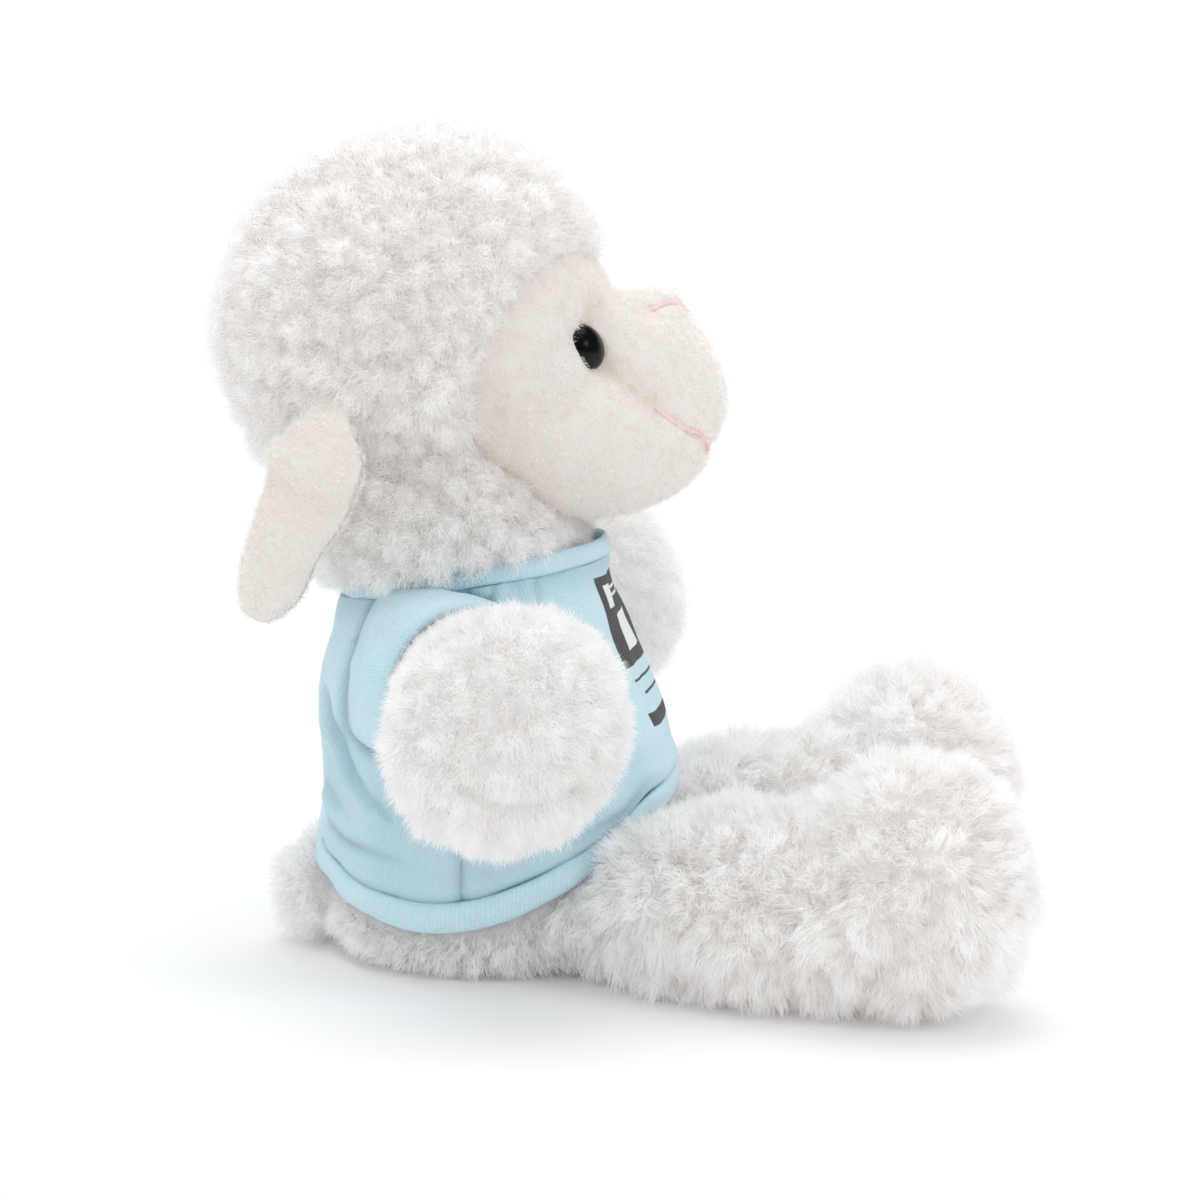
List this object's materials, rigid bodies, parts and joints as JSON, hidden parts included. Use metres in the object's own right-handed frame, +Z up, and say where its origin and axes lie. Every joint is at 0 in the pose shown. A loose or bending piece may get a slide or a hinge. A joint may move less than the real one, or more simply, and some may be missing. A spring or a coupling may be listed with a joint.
{
  "type": "stuffed animal with t-shirt",
  "caption": "Sitting plush lamb with curly wool, a smooth velour face and hanging ears, in a short-sleeved light blue T-shirt.",
  "frame": {"origin": "middle of the flat seat, on the surface that the toy sits on", "axes": "+Z up, -Y the way the toy looks, +X the toy's own left"},
  "size_m": [0.1947, 0.2043, 0.2061],
  "materials": {
    "wool": "long curly white pile",
    "velour": "short cream pile",
    "stuffing": "loose white fibre",
    "jersey": "light blue single jersey knit",
    "ticking": "plain woven cotton",
    "eye_gloss": "polished black",
    "washer_plastic": "moulded"
  },
  "bodies": {
    "torso": {"torso_skin": "wool", "torso_stuffing": "stuffing", "bean_pouch": "ticking", "shirt_front": "jersey", "shirt_back": "jersey", "shirt_hem": "jersey", "shirt_neckband": "jersey", "shirt_sleeve_right": "jersey", "shirt_sleeve_left": "jersey"},
    "head": {"head_hood": "wool", "face_panel": "velour", "head_stuffing": "stuffing", "eye_right": "eye_gloss", "eye_left": "eye_gloss", "eye_washer_right": "washer_plastic", "eye_washer_left": "washer_plastic"},
    "ear_right": {"ear_right_outer": "velour", "ear_right_lining": "velour"},
    "ear_left": {"ear_left_outer": "velour", "ear_left_lining": "velour"},
    "arm_right": {"arm_right_skin": "wool", "arm_right_stuffing": "stuffing"},
    "arm_left": {"arm_left_skin": "wool", "arm_left_stuffing": "stuffing"},
    "leg_right": {"leg_right_skin": "wool", "leg_right_stuffing": "stuffing"},
    "leg_left": {"leg_left_skin": "wool", "leg_left_stuffing": "stuffing"},
    "tail": {"tail_skin": "wool", "tail_stuffing": "stuffing"}
  },
  "joints": [
    {"name": "neck_turn", "type": "hinge", "parent": "torso", "child": "head", "pos_m": [0, 0.002, 0.1005], "axis": [0, 0.1564, 0.9877], "range_deg": [-20, 20], "stiffness_Nm_per_rad": 0.03},
    {"name": "shoulder_right", "type": "hinge", "parent": "torso", "child": "arm_right", "pos_m": [-0.0485, -0.003, 0.0765], "axis": [0, 1, 0], "range_deg": [-8, 36], "stiffness_Nm_per_rad": 0.03},
    {"name": "shoulder_left", "type": "hinge", "parent": "torso", "child": "arm_left", "pos_m": [0.0485, -0.003, 0.0765], "axis": [0, -1, 0], "range_deg": [-35, 9], "stiffness_Nm_per_rad": 0.03},
    {"name": "hip_right", "type": "hinge", "parent": "torso", "child": "leg_right", "pos_m": [-0.024, -0.03, 0.017], "axis": [0, 0, -1], "range_deg": [-8, 14], "stiffness_Nm_per_rad": 0.03},
    {"name": "hip_left", "type": "hinge", "parent": "torso", "child": "leg_left", "pos_m": [0.024, -0.03, 0.017], "axis": [0, 0, 1], "range_deg": [-8, 14], "stiffness_Nm_per_rad": 0.03},
    {"name": "ear_right_flop", "type": "hinge", "parent": "head", "child": "ear_right", "pos_m": [-0.041, 0.029, 0.141], "axis": [0.2756, 0.9613, 0], "range_deg": [0, 60]},
    {"name": "ear_left_flop", "type": "hinge", "parent": "head", "child": "ear_left", "pos_m": [0.041, 0.029, 0.141], "axis": [0.2756, -0.9613, 0], "range_deg": [0, 60]},
    {"name": "tail_wag", "type": "hinge", "parent": "torso", "child": "tail", "pos_m": [0, 0.036, 0.0145], "axis": [0, 0, 1], "range_deg": [-15, 15], "stiffness_Nm_per_rad": 0.003}
  ]
}
